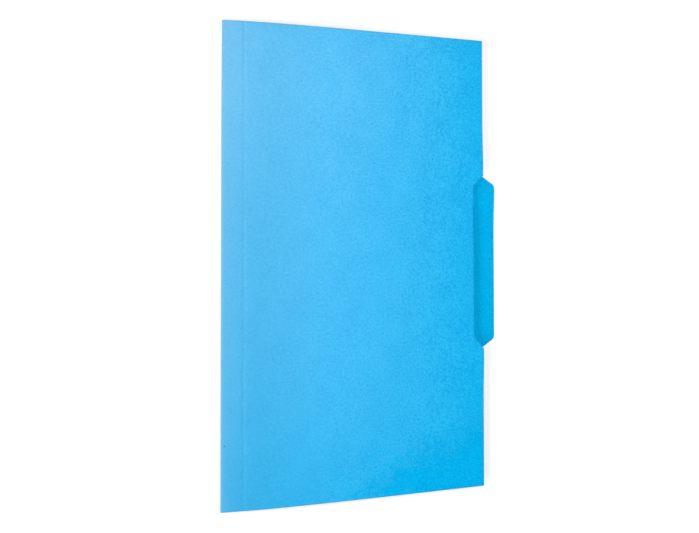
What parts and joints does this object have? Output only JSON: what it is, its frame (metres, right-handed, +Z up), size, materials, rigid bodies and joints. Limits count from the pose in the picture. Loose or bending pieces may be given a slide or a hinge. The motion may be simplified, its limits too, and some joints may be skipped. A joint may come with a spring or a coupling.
{
  "type": "file folder",
  "caption": "Card file folder folded once, with a tab on the back leaf and a matching cut-out in the front leaf; holds and labels loose papers.",
  "frame": {"origin": "on the surface the folder lies on, below the middle of its outline", "axes": "+X from the fold to the tab, +Y along the fold, +Z up through the leaves; the back leaf lies flat and the front leaf is above it"},
  "size_m": [0.2413, 0.3746, 0.0066],
  "materials": {
    "blue_card": "dyed card, matt with a soft sheen"
  },
  "bodies": {
    "root": {"folder_card": "blue_card"}
  },
  "joints": []
}
